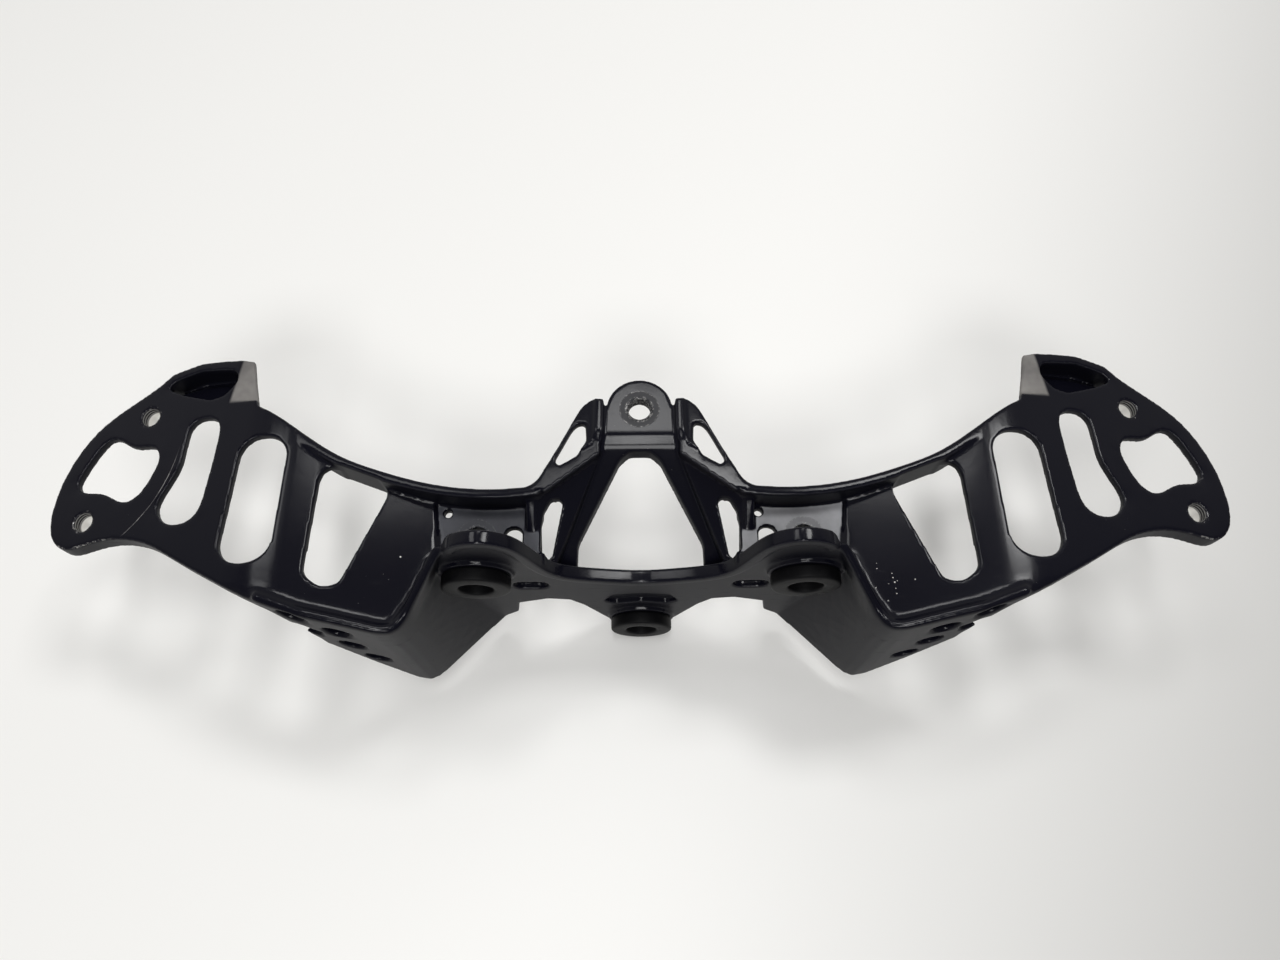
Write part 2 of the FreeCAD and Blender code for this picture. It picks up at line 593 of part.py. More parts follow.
CRESCENT = [(-16.5, arch_z + 7.5), (-12.0, arch_z + 18.0), (0.0, arch_z + 20.0), (12.0, arch_z + 18.0),
            (16.5, arch_z + 7.5), (11.5, arch_z + 4.0), (0.0, arch_z + 7.0), (-11.5, arch_z + 4.0)]
recess_sketch = drawn("recess", rounded(CRESCENT, 3.0), TURN_XZ, (0, face_y - size("recess_floor_t"), 0))
recess = raised("recess", recess_sketch, "dims.wall + 12")
plate_tool_sketch = drawn("plate_windows", plate_windows, TURN_XZ, (0, face_y + 3.0, 0))
plate_tool = raised("plate_windows", plate_tool_sketch, "dims.wall + 12")

# Bolt holes of the two pads and the boss, and the small locating holes of the pads.
bolt_tools = []
for name, x, y in (("left", -half, 0.0), ("right", half, 0.0), ("boss", 0.0, boss_y)):
    bolt_tools.append(round_bar("bolt_hole_" + name, "dims.bolt_hole_d", "2 * dims.drill_reach",
                                (x, y, -drill_reach), (0, 0, 1)))
dowel_left = (-half - size("dowel_left_out"), size("dowel_left_back"))
dowel_right = (half - size("dowel_right_in"), size("dowel_right_back"))
for name, (x, y) in (("left", dowel_left), ("right", dowel_right)):
    bolt_tools.append(round_bar("dowel_" + name, "dims.dowel_d", "dims.drill_reach",
                                (x, y, -drill_reach / 2), (0, 0, 1)))

raw = joined("raw_casting", [right_half, left_half, bridge, lamp_plate, rim] + seat_rings)
tools = joined("machining", seat_holes + [plate_tool, recess] + bolt_tools)
casting = less("stay_casting", raw, tools)
casting.Label = "stay_casting"

# Rubber grommet: two flanges on a neck that fills the plate's hole, bored right through.
grommets = []
for side, x, z in SEATS:
    axis = (0, -1, 0)
    seat_front = front_y - size("seat_ring_t")
    back = (x, face_y + size("grommet_lip_t"), z)
    neck = round_bar("neck_" + side, "dims.seat_hole_d",
                     "dims.grommet_lip_t + dims.wall + dims.seat_ring_t + dims.grommet_front_t", back, axis)
    rear = round_bar("rear_" + side, "dims.grommet_lip_d", "dims.grommet_lip_t", back, axis)
    front = round_bar("front_" + side, "dims.grommet_od", "dims.grommet_front_t", (x, seat_front, z), axis)
    body = joined("rubber_" + side, [neck, rear, front])
    bore = round_bar("bore_" + side, "dims.grommet_bore", "2 * dims.drill_reach",
                     (x, face_y + drill_reach, z), axis)
    grommet = less("grommet_" + side, body, bore)
    grommet.Label = "grommet_" + side
    grommets.append(grommet)

doc.recompute()

for obj in doc.Objects:
    if "Invalid" in obj.State or "Error" in obj.State:
        raise RuntimeError("%s did not build: %s" % (obj.Name, obj.State))
os.makedirs("parts", exist_ok=True)
for piece in [casting] + grommets:
    shape = piece.Shape
    if shape.isNull() or not shape.isValid():
        raise RuntimeError("%s has no sound shape" % piece.Label)
    if len(shape.Solids) != 1:
        raise RuntimeError("%s has %d solids" % (piece.Label, len(shape.Solids)))
for piece in [casting] + grommets:
    piece.Shape.exportStep("parts/%s.step" % piece.Label)
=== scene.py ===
import math
import bmesh
import bpy
import numpy as np
from mathutils import Euler, Matrix, Vector
from mathutils.kdtree import KDTree


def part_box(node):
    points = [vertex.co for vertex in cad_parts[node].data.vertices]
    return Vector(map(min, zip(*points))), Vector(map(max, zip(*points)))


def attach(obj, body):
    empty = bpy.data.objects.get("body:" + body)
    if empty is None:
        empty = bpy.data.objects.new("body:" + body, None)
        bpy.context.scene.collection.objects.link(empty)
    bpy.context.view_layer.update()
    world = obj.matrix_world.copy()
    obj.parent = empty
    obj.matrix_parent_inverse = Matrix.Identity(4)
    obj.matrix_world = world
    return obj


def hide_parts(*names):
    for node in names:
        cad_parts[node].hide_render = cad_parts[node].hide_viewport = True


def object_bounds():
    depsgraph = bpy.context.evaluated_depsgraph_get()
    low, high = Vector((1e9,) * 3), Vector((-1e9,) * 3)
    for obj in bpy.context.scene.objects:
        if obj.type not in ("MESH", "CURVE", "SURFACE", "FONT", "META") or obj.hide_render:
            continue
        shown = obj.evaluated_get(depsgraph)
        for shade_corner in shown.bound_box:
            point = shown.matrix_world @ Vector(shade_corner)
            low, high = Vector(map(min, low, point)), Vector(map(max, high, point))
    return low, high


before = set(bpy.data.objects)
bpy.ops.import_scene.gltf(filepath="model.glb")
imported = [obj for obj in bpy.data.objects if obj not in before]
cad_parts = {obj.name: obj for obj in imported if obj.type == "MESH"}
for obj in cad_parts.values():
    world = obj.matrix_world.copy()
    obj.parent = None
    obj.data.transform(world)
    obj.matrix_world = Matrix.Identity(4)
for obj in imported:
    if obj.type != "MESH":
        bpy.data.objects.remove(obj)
cad_low, cad_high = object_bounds()
scene = bpy.context.scene
MM = 0.001


def link(obj):
    scene.collection.objects.link(obj)
    return obj


# Node helpers for the procedural materials.
class Nodes:
    def __init__(self, name):
        self.material = bpy.data.materials.new(name)
        self.material.use_nodes = True
        self.tree = self.material.node_tree
        self.tree.nodes.clear()
        self.out = self.tree.nodes.new("ShaderNodeOutputMaterial")
        self.shader = self.tree.nodes.new("ShaderNodeBsdfPrincipled")
        self.join(self.shader.outputs["BSDF"], self.out.inputs["Surface"])
        coordinates = self.tree.nodes.new("ShaderNodeTexCoord")
        self.place = coordinates.outputs["Object"]
        self.x, self.y, self.z = self.split(self.place)
        self.rise = self.split(coordinates.outputs["Normal"])[2]

    def join(self, source, target):
        self.tree.links.new(source, target)

    def feed(self, value, socket):
        if isinstance(value, (int, float)):
            socket.default_value = value
        elif isinstance(value, tuple):
            if len(socket.default_value) == 4 and len(value) == 3:
                value = value + (1.0,)
            socket.default_value = value
        else:
            self.join(value, socket)

    def split(self, vector):
        node = self.tree.nodes.new("ShaderNodeSeparateXYZ")
        self.join(vector, node.inputs[0])
        return node.outputs["X"], node.outputs["Y"], node.outputs["Z"]

    def math(self, operation, a, b=0.0, c=0.0):
        node = self.tree.nodes.new("ShaderNodeMath")
        node.operation = operation
        for value, socket in zip((a, b, c), node.inputs):
            self.feed(value, socket)
        return node.outputs[0]

    def gathered(self, operation, values):
        result = values[0]
        for value in values[1:]:
            result = self.math(operation, result, value)
        return result

    def product(self, *values):
        return self.gathered("MULTIPLY", values)

    def total(self, *values):
        return self.gathered("ADD", values)

    def greatest(self, *values):
        return self.gathered("MAXIMUM", values)

    def size(self, value):
        return self.math("ABSOLUTE", value)

    def vector(self, operation, a, b=(0.0, 0.0, 0.0)):
        node = self.tree.nodes.new("ShaderNodeVectorMath")
        node.operation = operation
        self.feed(a, node.inputs[0])
        self.feed(b, node.inputs[1])
        single = operation in ("DISTANCE", "LENGTH", "DOT_PRODUCT")
        return node.outputs["Value" if single else "Vector"]

    def distance(self, point):
        return self.vector("DISTANCE", self.place, tuple(MM * c for c in point))

    def noise(self, scale, detail=3.0, roughness=0.55, vector=None):
        node = self.tree.nodes.new("ShaderNodeTexNoise")
        node.inputs["Scale"].default_value = scale
        node.inputs["Detail"].default_value = detail
        node.inputs["Roughness"].default_value = roughness
        self.join(vector or self.place, node.inputs["Vector"])
        return node.outputs["Fac"]

    def cells(self, scale):
        node = self.tree.nodes.new("ShaderNodeTexVoronoi")
        node.inputs["Scale"].default_value = scale
        self.join(self.place, node.inputs["Vector"])
        return node.outputs["Distance"]

    def stretched(self, scale, turn):
        node = self.tree.nodes.new("ShaderNodeMapping")
        self.join(self.place, node.inputs["Vector"])
        node.inputs["Scale"].default_value = scale
        node.inputs["Rotation"].default_value = turn
        return node.outputs["Vector"]

    def ramp(self, value, low, high, to_low=0.0, to_high=1.0):
        node = self.tree.nodes.new("ShaderNodeMapRange")
        node.interpolation_type = "SMOOTHSTEP"
        self.feed(value, node.inputs["Value"])
        node.inputs["From Min"].default_value = low
        node.inputs["From Max"].default_value = high
        node.inputs["To Min"].default_value = to_low
        node.inputs["To Max"].default_value = to_high
        return node.outputs["Result"]

    def fade(self, value, low, high, most=1.0):
        return self.ramp(value, low, high, most, 0.0)

    def mix(self, factor, a, b):
        node = self.tree.nodes.new("ShaderNodeMix")
        node.data_type = "RGBA"
        self.feed(factor, node.inputs["Factor"])
        self.feed(a, node.inputs["A"])
        self.feed(b, node.inputs["B"])
        return node.outputs["Result"]

    def attribute(self, name):
        node = self.tree.nodes.new("ShaderNodeAttribute")
        node.attribute_name = name
        return node.outputs["Fac"]

    def bump(self, height, strength, reach):
        node = self.tree.nodes.new("ShaderNodeBump")
        node.inputs["Strength"].default_value = strength
        node.inputs["Distance"].default_value = reach
        self.join(height, node.inputs["Height"])
        self.join(node.outputs["Normal"], self.shader.inputs["Normal"])


# Colours of the casting.
PAINT_DARK = (0.0030, 0.0030, 0.0060)
PAINT_LIGHT = (0.0044, 0.0044, 0.0082)
# Pad colours: dulled paint with painted sheen, the right pad much lighter as a painted reflection.
PAD_DULL_AND_SHEEN_LEFT = (0.055, 0.057, 0.067)
PAD_DULL_AND_SHEEN_RIGHT = (0.27, 0.272, 0.285)
PRESSED = (0.035, 0.035, 0.037)
EDGE_THIN = (0.055, 0.055, 0.062)
EDGE_RUBBED = (0.10, 0.10, 0.105)
BARE_METAL = (0.52, 0.51, 0.49)
# Near-white colour deep in the screw holes: painted light standing in for the light seen through them.
SEEN_THROUGH_LIGHT = (0.92, 0.91, 0.88)
LUG_GREY = (0.21, 0.20, 0.19)
DUST = (0.62, 0.61, 0.58)

# Gloss of the paint: on level faces, and what is added for upright faces and for each kind of wear.
LEVEL_ROUGH = (0.12, 0.17)
UPRIGHT_ROUGH = 0.34
PAD_ROUGH = 0.2
PRESSED_ROUGH = 0.15
DUST_ROUGH = 0.5
SCRATCHED_ROUGH = 0.06
PAINT_SPECULAR = 0.16

# How much of each kind of wear shows in the colour, and how metallic the bare spots are.
PRESSED_SHARE = 0.4
EDGE_SHARE = 0.22
RUBBED_SHARE = 0.3
METAL_SHARE = 0.9

# Bump of the paint: heights beside a coarse grain of 1, then the strength and the reach in millimetres.
FINE_GRAIN = 0.5
PRESSED_SINK = 1.2
THREAD_HEIGHT = 6.0
PAINT_BUMP = 0.035
PAINT_BUMP_REACH = 0.4

# Pad faces: where they start and end across the stay, and how far off the bolt plane they reach.
PAD_START = (38.5, 39.5)
PAD_END = (82.5, 84.0)
PAD_THICK = (0.9, 1.6)

# Worn rings left by the bolt heads: hole centre and how strong the ring is.
RINGS = [((-66.0, 0.0, 0.0), 0.35), ((66.0, 0.0, 0.0), 0.8), ((0.0, 50.0, 15.0), 1.0)]
RING_RADIUS = 8.2
RING_INNER = 5.6
RIM_SHARE = 0.7
FLECK_SHARE = 0.4

# Threaded holes of the right wing, on the top face. The left ones mirror them.
SCREW_HOLES = [(206.2, 54.4), (227.5, 9.1)]
SCREW_RADIUS = 4.0
THREAD_PITCH = 1.25
BURR_REACH = (1.0, 1.6)
# Depth range in the screw holes where the painted light seen through them begins.
THROUGH_LIGHT_DEPTH = (-3.6, -4.6)
CRUMB_SHARE = 0.6

# Upper face of the wings: it climbs to the bend and falls beyond it.
WING_RISE = math.radians(10.0)
WING_FALL = math.radians(11.3)
BEND_X, BEND_Z = 150.0, 13.93

# Dust specks on the wings: place and size in millimetres.
SPECKS = [
    (-94.9, -8.9, 0.30), (87.6, -17.2, 0.24), (92.8, -13.1, 0.13), (92.8, -15.3, 0.16), (98.2, -17.6, 0.17),
    (98.4, -19.3, 0.20), (98.9, -21.2, 0.26), (96.6, -21.7, 0.13), (99.9, -20.7, 0.18), (91.6, -23.1, 0.20),
    (99.0, -23.7, 0.18), (99.2, -25.8, 0.19), (95.7, -28.5, 0.19), (106.6, -20.5, 0.20),
]
MOTE_SHARE = 0.25

# Scratch on the left wing: an arc by its centre, radius and width, and where it starts and ends.
SCRATCH_CENTRE = (-247.5, 44.4)
SCRATCH_RADIUS = 58.0
SCRATCH_WIDTH = 0.16
SCRATCH_START = (1.0, 4.0)
SCRATCH_END = (26.0, 40.0)
SCRATCH_INSIDE = (-186.0, -188.0)

# Scuffed stretches of the edge: centre, reach and strength.
SCUFFS = [
    ((-226.0, -0.5, -1.5), 15.0, 1.0), ((-236.0, 4.0, -3.5), 11.0, 0.8), ((233.0, -1.0, -2.7), 13.0, 0.8),
    ((240.0, 18.0, -4.1), 16.0, 0.45),
]

# Sloping inner face of each hook lug: its upper edge runs back at this slope from this place.
LUG_SLOPE = -0.168
LUG_PLACE = 180.95
LUG_DEPTH = (0.2, 1.6)
LUG_FRONT = (56.5, 58.5)
LUG_INSIDE = (150.0, 152.0)


def scaled(values, unit=MM):
    return tuple(unit * value for value in values)


def wing_height(x):
    x = abs(x)
    if x < BEND_X:
        return BEND_Z - math.tan(WING_RISE) * (BEND_X - x)
    return BEND_Z - math.tan(WING_FALL) * (x - BEND_X)


# Pads dulled by what was bolted down on them, with painted sheen: their grey stands partly for reflected
# light, the right pad much lighter than the left.
def dull_and_sheened_pads(n):
    across = n.size(n.x)
    cloud = n.ramp(n.noise(60.0, 4.0, 0.6), 0.25, 0.75, 0.65, 1.0)
    sides = n.product(n.ramp(across, *scaled(PAD_START)), n.fade(across, *scaled(PAD_END)))
    level = n.product(n.fade(n.size(n.z), *scaled(PAD_THICK)), n.ramp(n.rise, 0.90, 0.98))
    return n.product(sides, level, cloud)


# Bolt head rings: where the head pressed, and the flecks scraped through to bright metal.
def bolt_rings(n):
    pressed = []
    lines = []
    for centre, strength in RINGS:
        away = n.distance(centre)
        inside = n.fade(away, *scaled((0.99, 1.02), RING_RADIUS * MM), strength)
        rim = n.product(n.ramp(away, *scaled((0.94, 0.96), RING_RADIUS * MM)), inside, RIM_SHARE)
        inner = n.product(n.fade(away, *scaled((1.0, 1.1), RING_INNER * MM)), inside)
        pressed.append(inside)
        lines.append(n.greatest(rim, inner))
    flecks = n.ramp(n.noise(1100.0, 4.0, 0.7), 0.48, 0.60)
    return n.greatest(*pressed), n.product(n.greatest(*lines), flecks, FLECK_SHARE)


# Edges scuffed bare at the wing tips.
def scuffed_edges(n, edge):
    near = []
    for centre, reach, strength in SCUFFS:
        near.append(n.fade(n.distance(centre), *scaled((0.3, 1.0), reach * MM), strength))
    grain = n.ramp(n.noise(260.0, 5.0, 0.75), 0.50, 0.60)
    return n.product(n.greatest(*near), n.ramp(edge, 0.25, 0.7), grain)


def wing_scratch(n, patches):
    aside = n.math("SUBTRACT", n.x, SCRATCH_CENTRE[0] * MM)
    along = n.math("SUBTRACT", n.y, SCRATCH_CENTRE[1] * MM)
    away = n.math("SQRT", n.total(n.product(aside, aside), n.product(along, along)))
    beside = n.size(n.math("SUBTRACT", away, SCRATCH_RADIUS * MM))
    line = n.fade(beside, *scaled((0.5, 1.5), SCRATCH_WIDTH * MM))
    ends = n.product(n.ramp(n.y, *scaled(SCRATCH_START)), n.fade(n.y, *scaled(SCRATCH_END)))
    breaks = n.ramp(patches, 0.40, 0.62, 0.1, 0.5)
    return n.product(line, ends, n.ramp(n.x, *scaled(SCRATCH_INSIDE)), breaks)


# Screw threads cut through the paint: the bare metal, the thread's wave, and deep inside a painted
# highlight: near-white metal standing in for the light seen through the hole.
def screw_threads_and_through_light(n):
    walls = []
    waves = []
    burrs = []
    through_light_spots = []
    for x, y in SCREW_HOLES:
        for sign in (-1, 1):
            axis = (sign * math.sin(WING_FALL), 0.0, math.cos(WING_FALL))
            offset = n.vector("SUBTRACT", n.place, scaled((sign * x, y, wing_height(x))))
            away = n.vector("LENGTH", n.vector("CROSS_PRODUCT", offset, axis))
            along = n.vector("DOT_PRODUCT", offset, axis)
            wall = n.fade(away, *scaled((1.0, 1.06), SCREW_RADIUS * MM))
            wave = n.math("SINE", n.product(along, 2 * math.pi / (THREAD_PITCH * MM)))
            mouth = n.fade(n.size(along), *scaled(BURR_REACH))
            walls.append(wall)
            waves.append(n.product(wave, wall))
            burrs.append(n.product(n.fade(away, *scaled((1.06, 1.4), SCREW_RADIUS * MM)), mouth))
            through_light_spots.append(n.product(n.ramp(along, *scaled(THROUGH_LIGHT_DEPTH)), wall))
    turns = n.total(*waves)
    through_light = n.greatest(*through_light_spots)
    glint = n.greatest(n.ramp(turns, 0.1, 0.95, 0.03, 0.6), through_light)
    crumbs = n.ramp(n.noise(900.0, 4.0, 0.7), 0.60, 0.68)
    cut_and_through_light = n.product(n.greatest(*walls), glint)
    torn = n.product(n.greatest(*burrs), crumbs, CRUMB_SHARE)
    return n.greatest(cut_and_through_light, torn), through_light, turns


# Inner faces of the hook lugs in a dull grey.
def lug_faces(n):
    across = n.size(n.x)
    plane_edge = n.math("MULTIPLY_ADD", n.y, LUG_SLOPE, LUG_PLACE * MM)
    sunk = n.ramp(n.math("SUBTRACT", plane_edge, across), *scaled(LUG_DEPTH))
    tone = n.ramp(n.noise(70.0, 3.0, 0.6), 0.3, 0.7, 0.55, 0.95)
    return n.product(sunk, n.ramp(n.y, *scaled(LUG_FRONT)), n.ramp(across, *scaled(LUG_INSIDE)), tone)


def wing_dust(n):
    specks = []
    for x, y, radius in SPECKS:
        specks.append(n.fade(n.distance((x, y, wing_height(x))), *scaled((0.8, 1.25), radius * MM)))
    gathered = n.ramp(n.noise(45.0, 2.0), 0.60, 0.66)
    motes = n.product(n.fade(n.cells(420.0), 0.035, 0.06), gathered, MOTE_SHARE)
    return n.greatest(*specks, motes)


def paint():
    n = Nodes("stay_paint")
    edge = n.attribute("edge")
    broad = n.noise(9.0, 2.0)
    patches = n.noise(120.0, 4.0, 0.7)
    fine_scratches = n.noise(1.0, 3.0, 0.6, n.stretched((90.0, 1500.0, 600.0), (0, 0, 0.6)))
    upright = n.fade(n.size(n.rise), 0.40, 0.80)
    pad_dull_and_sheen = dull_and_sheened_pads(n)
    pressed, flecks = bolt_rings(n)
    threads_and_through_light, through_light, turns = screw_threads_and_through_light(n)
    bare_and_through_light = n.greatest(flecks, scuffed_edges(n, edge), wing_scratch(n, patches), threads_and_through_light)
    dust = wing_dust(n)

    colour = n.mix(broad, PAINT_DARK, PAINT_LIGHT)
    # Pads in a dull grey with painted sheen: the right one painted much lighter, as if it reflected a lamp.
    colour = n.mix(pad_dull_and_sheen, colour, n.mix(n.ramp(n.x, -0.02, 0.02), PAD_DULL_AND_SHEEN_LEFT, PAD_DULL_AND_SHEEN_RIGHT))
    colour = n.mix(n.product(pressed, PRESSED_SHARE), colour, PRESSED)
    colour = n.mix(n.product(n.ramp(edge, 0.4, 0.85), EDGE_SHARE), colour, EDGE_THIN)
    rubbed = n.product(n.ramp(edge, 0.5, 0.9), n.ramp(patches, 0.58, 0.70), RUBBED_SHARE)
    colour = n.mix(rubbed, colour, EDGE_RUBBED)
    colour = n.mix(bare_and_through_light, colour, BARE_METAL)
    # Painted light: the deep part of each screw hole in near-white, as if light showed through.
    colour = n.mix(through_light, colour, SEEN_THROUGH_LIGHT)
    colour = n.mix(lug_faces(n), colour, LUG_GREY)
    n.join(n.mix(dust, colour, DUST), n.shader.inputs["Base Color"])

    rough = n.total(
        n.ramp(broad, 0.3, 0.7, *LEVEL_ROUGH),
        n.product(upright, UPRIGHT_ROUGH),
        n.product(pad_dull_and_sheen, PAD_ROUGH),
        n.product(pressed, PRESSED_ROUGH),
        n.product(dust, DUST_ROUGH),
        n.product(n.ramp(fine_scratches, 0.62, 0.70), SCRATCHED_ROUGH),
    )
    n.join(rough, n.shader.inputs["Roughness"])
    n.join(n.product(bare_and_through_light, METAL_SHARE), n.shader.inputs["Metallic"])
    n.shader.inputs["Specular IOR Level"].default_value = PAINT_SPECULAR

    grain = n.total(n.product(n.noise(900.0, 2.0), FINE_GRAIN), n.noise(180.0, 2.0))
    height = n.total(grain, n.product(pressed, -PRESSED_SINK), n.product(turns, THREAD_HEIGHT))
    n.bump(height, PAINT_BUMP, PAINT_BUMP_REACH * MM)
    return n.material


# Rubber of the grommets.
RUBBER_DARK = (0.0030, 0.0030, 0.0036)
RUBBER_DUSTY = (0.010, 0.010, 0.010)
RUBBER_DUST_SHARE = 0.35
RUBBER_ROUGH = (0.52, 0.68)
RUBBER_SPECULAR = 0.10
RUBBER_BUMP = 0.15
RUBBER_BUMP_REACH = 0.3


def rubber():
    n = Nodes("grommet_rubber")
    dust = n.ramp(n.noise(160.0, 4.0, 0.65), 0.5, 0.8)
    colour = n.mix(n.product(dust, RUBBER_DUST_SHARE), RUBBER_DARK, RUBBER_DUSTY)
    n.join(colour, n.shader.inputs["Base Color"])
    n.join(n.ramp(dust, 0.0, 1.0, *RUBBER_ROUGH), n.shader.inputs["Roughness"])
    n.shader.inputs["Specular IOR Level"].default_value = RUBBER_SPECULAR
    n.bump(n.noise(1400.0, 3.0), RUBBER_BUMP, RUBBER_BUMP_REACH * MM)
    return n.material


# Casting skin: the solid's own form with the soft edges of a painted casting.
VOXEL = 0.55 * MM
SOFTEN = 11
SMOOTH_STEP = 0.5
EDGE_SUNK = 0.45 * VOXEL
MOST_TRIANGLES = 186000
FLAT_FACE_WEIGHT = 70

# Line in plan where each wing turns down into the knee, softened more than the other edges.
KNEE_LINE = [(81.5, -6.0), (92.3, -32.0), (96.7, -38.1), (106.4, -37.4), (136.4, -29.4), (150.0, -24.5)]
KNEE_REACH = 10.0
KNEE_FADE = 4.0
KNEE_LOWEST = -12.0
KNEE_SOFTEN = 70
LEAST_WEIGHT = 0.02

# Outlines of the wing tips, eased into smooth curves. The hook lugs keep more of their corners.
TIP_START = 163.0
TOP_RISE = 0.85
WALL_RISE = 0.4
OUTLINE_STEP = 0.5
OUTLINE_EASE = 3.0
OUTLINE_FULL = 1.5
OUTLINE_REACH = 5.5
SHORTEST_OUTLINE = 40.0
LUG_START = 57.0
LUG_EASE = 0.35


def applied(obj):
    graph = bpy.context.evaluated_depsgraph_get()
    mesh = bpy.data.meshes.new_from_object(obj.evaluated_get(graph))
    obj.modifiers.clear()
    old = obj.data
    obj.data = mesh
    bpy.data.meshes.remove(old)


def smoothed(obj, iterations, group=""):
    smooth = obj.modifiers.new("smooth", "SMOOTH")
    smooth.factor = SMOOTH_STEP
    smooth.iterations = iterations
    smooth.vertex_group = group
    applied(obj)


def vertex_values(mesh, name):
    flat = np.zeros(len(mesh.vertices) * 3)
    mesh.vertices.foreach_get(name, flat)
    return flat.reshape(-1, 3)


def knee_weight(spots):
    flat = spots[:, :2] / MM
    flat[:, 0] = np.abs(flat[:, 0])
    nearest = np.full(len(spots), np.inf)
    for start, end in zip(KNEE_LINE, KNEE_LINE[1:]):
        start = np.array(start)
        run = np.array(end) - start
        share = np.clip(((flat - start) @ run) / (run @ run), 0.0, 1.0)
        nearest = np.minimum(nearest, np.linalg.norm(flat - start - share[:, None] * run, axis=1))
    weight = np.clip((KNEE_REACH - nearest) / KNEE_FADE, 0.0, 1.0)
    return weight * (spots[:, 2] / MM > KNEE_LOWEST)


# Each outline of the wing tips as a run of points in plan, and whether it closes.
def tip_outlines(mesh):
    build = bmesh.new()
    build.from_mesh(mesh)
    bmesh.ops.remove_doubles(build, verts=build.verts, dist=0.001 * MM)
    beside = {}
    for edge in build.edges:
        if len(edge.link_faces) != 2 or min(abs(v.co.x) for v in edge.verts) < TIP_START * MM:
            continue
        lower, upper = sorted(face.normal.z for face in edge.link_faces)
        if upper > TOP_RISE and abs(lower) < WALL_RISE:
            first, second = (tuple(v.co[:2]) for v in edge.verts)
            beside.setdefault(first, []).append(second)
            beside.setdefault(second, []).append(first)
    build.free()
    starts = [spot for spot in beside if len(beside[spot]) == 1] + list(beside)
    used = set()
    chains = []
    for start in starts:
        if start in used:
            continue
        chain = []
        ahead = [start]
        while ahead:
            chain.append(ahead[0])
            used.add(ahead[0])
            ahead = [spot for spot in beside[chain[-1]] if spot not in used]
        closed = len(chain) > 2 and start in beside[chain[-1]]
        chains.append((np.array(chain + [start] if closed else chain) / MM, closed))
    return chains


# Points along one outline, and how far each moves to lie on a smooth curve.
def outline_moves(chain, lengths, closed):
    at = np.arange(0.0, lengths[-1], OUTLINE_STEP)
    line = np.stack([np.interp(at, lengths, chain[:, k]) for k in (0, 1)], axis=1)
    span = int(3 * OUTLINE_EASE / OUTLINE_STEP)
    kernel = np.exp(-0.5 * (np.arange(-span, span + 1) * OUTLINE_STEP / OUTLINE_EASE) ** 2)
    kernel /= kernel.sum()
    padded = np.pad(line, ((span, span), (0, 0)), mode="wrap" if closed else "edge")
    eased = np.stack([np.convolve(padded[:, k], kernel, mode="valid") for k in (0, 1)], axis=1)
    move = (eased - line) * np.where(line[:, 1:] > LUG_START, LUG_EASE, 1.0)
    if not closed:
        ends = np.minimum(at, at[-1] - at)
        move *= np.clip(ends / (3 * OUTLINE_EASE) - 1.0, 0.0, 1.0)[:, None]
    return line, move


def ease_outlines(mesh, spots):
    places = []
    moves = []
    for chain, closed in tip_outlines(mesh):
        lengths = np.concatenate([[0.0], np.cumsum(np.linalg.norm(np.diff(chain, axis=0), axis=1))])
        if lengths[-1] < SHORTEST_OUTLINE:
            continue
        line, move = outline_moves(chain, lengths, closed)
        places.extend(line)
        moves.extend(move)
    tree = KDTree(len(places))
    for index, (x, y) in enumerate(places):
        tree.insert((x, y, 0.0), index)
    tree.balance()
    for index in np.nonzero(np.abs(spots[:, 0]) > TIP_START * MM)[0]:
        _, nearest, away = tree.find((spots[index, 0] / MM, spots[index, 1] / MM, 0.0))
        share = min(1.0, max(0.0, (OUTLINE_REACH - away) / (OUTLINE_REACH - OUTLINE_FULL)))
        spots[index, :2] += share * moves[nearest] * MM
    return spots


def casting_skin():
    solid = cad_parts["stay_casting"].data
    skin = link(bpy.data.objects.new("casting", solid.copy()))
    skin.data.materials.clear()
    remesh = skin.modifiers.new("remesh", "REMESH")
    remesh.mode = "VOXEL"
    remesh.voxel_size = VOXEL
    remesh.use_smooth_shade = True
    applied(skin)

    # How far smoothing sinks each point marks the convex edges.
    before = vertex_values(skin.data, "co")
    smoothed(skin, SOFTEN)
    after = vertex_values(skin.data, "co")
    sunk = ((before - after) * vertex_values(skin.data, "normal")).sum(axis=1)
    edge = np.clip(sunk / EDGE_SUNK, 0.0, 1.0)
    weight = knee_weight(after)
    layer = skin.data.attributes.new("edge", "FLOAT", "POINT")
    layer.data.foreach_set("value", (edge * (1.0 - weight)).astype(np.float32))

    skin.data.vertices.foreach_set("co", ease_outlines(solid, after.copy()).ravel())
    skin.data.update()
    knee = skin.vertex_groups.new(name="knee")
    for index in np.nonzero(weight > LEAST_WEIGHT)[0]:
        knee.add([int(index)], float(weight[index]), "REPLACE")
    smoothed(skin, KNEE_SOFTEN, "knee")

    thin = skin.modifiers.new("thin", "DECIMATE")
    thin.ratio = min(1.0, MOST_TRIANGLES / (2.0 * len(skin.data.polygons)))
    applied(skin)
    skin.vertex_groups.clear()
    skin.data.shade_smooth()
    flat = skin.modifiers.new("flat", "WEIGHTED_NORMAL")
    flat.mode = "FACE_AREA"
    flat.weight = FLAT_FACE_WEIGHT
    applied(skin)
    return skin


# Grommet: a turned profile, radius and distance along its axis from the rear lip, in millimetres.
GROMMET_PROFILE = [
    (7.5, 0.0), (11.3, 0.0), (11.8, 0.2), (12.0, 0.7), (12.0, 1.4), (11.7, 1.9), (11.0, 2.0), (10.0, 2.05),
    (10.0, 7.95), (13.0, 8.0), (13.6, 8.15), (13.9, 8.6), (14.0, 9.2), (14.0, 12.6), (13.85, 13.2),
    (13.4, 13.6), (12.7, 13.8), (8.6, 13.8), (7.6, 13.7), (7.15, 13.4), (7.0, 12.9), (7.0, 0.9), (7.1, 0.35),
]
GROMMET_TURNS = 96


